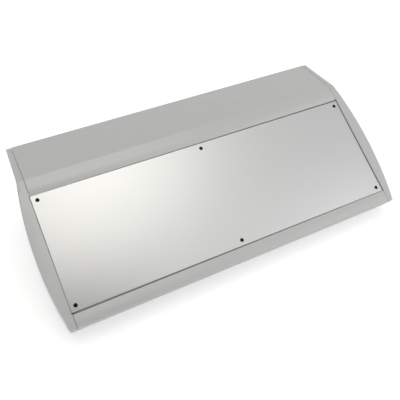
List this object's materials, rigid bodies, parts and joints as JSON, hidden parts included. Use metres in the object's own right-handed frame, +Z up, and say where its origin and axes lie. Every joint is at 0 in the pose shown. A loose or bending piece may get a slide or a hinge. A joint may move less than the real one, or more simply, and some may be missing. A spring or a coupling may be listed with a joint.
{
  "type": "console enclosure",
  "caption": "Desktop console enclosure with a sloping satin panel between a ribbed rear deck and a front lip, closed at the ends by bulging grey cheeks.",
  "frame": {"origin": "middle of the underside of the feet, under the middle of the enclosure's box", "axes": "+X along the width to the right, +Y to the rear, +Z up; the panel faces the front, -Y"},
  "size_m": [0.4542, 0.218, 0.1171],
  "materials": {
    "grey_paint": "semi-matt light grey powder coat",
    "cast_grey_paint": "semi-matt light grey powder coat on a casting",
    "satin_anodised": "satin clear anodised",
    "plain_aluminium": "mill finish",
    "black_oxide": "black oxide",
    "zinc_steel": "bright zinc plated",
    "rubber": "moulded matt"
  },
  "bodies": {
    "root": {"rear_profile": "grey_paint", "front_profile": "grey_paint", "left_cheek": "cast_grey_paint", "right_cheek": "cast_grey_paint", "front_panel": "satin_anodised", "front_panel_screws": "black_oxide", "upper_threaded_strip": "zinc_steel", "lower_threaded_strip": "zinc_steel", "left_cheek_screws": "zinc_steel", "right_cheek_screws": "zinc_steel", "base_plate": "plain_aluminium", "base_screws": "zinc_steel", "rear_panel": "grey_paint", "rear_panel_screws": "black_oxide", "foot_front_left": "rubber", "foot_front_right": "rubber", "foot_rear_left": "rubber", "foot_rear_right": "rubber", "foot_screws": "zinc_steel", "foot_nuts": "zinc_steel", "board_pillars": "zinc_steel", "earth_stud": "zinc_steel", "earth_washer": "zinc_steel", "earth_nut": "zinc_steel"}
  },
  "joints": []
}
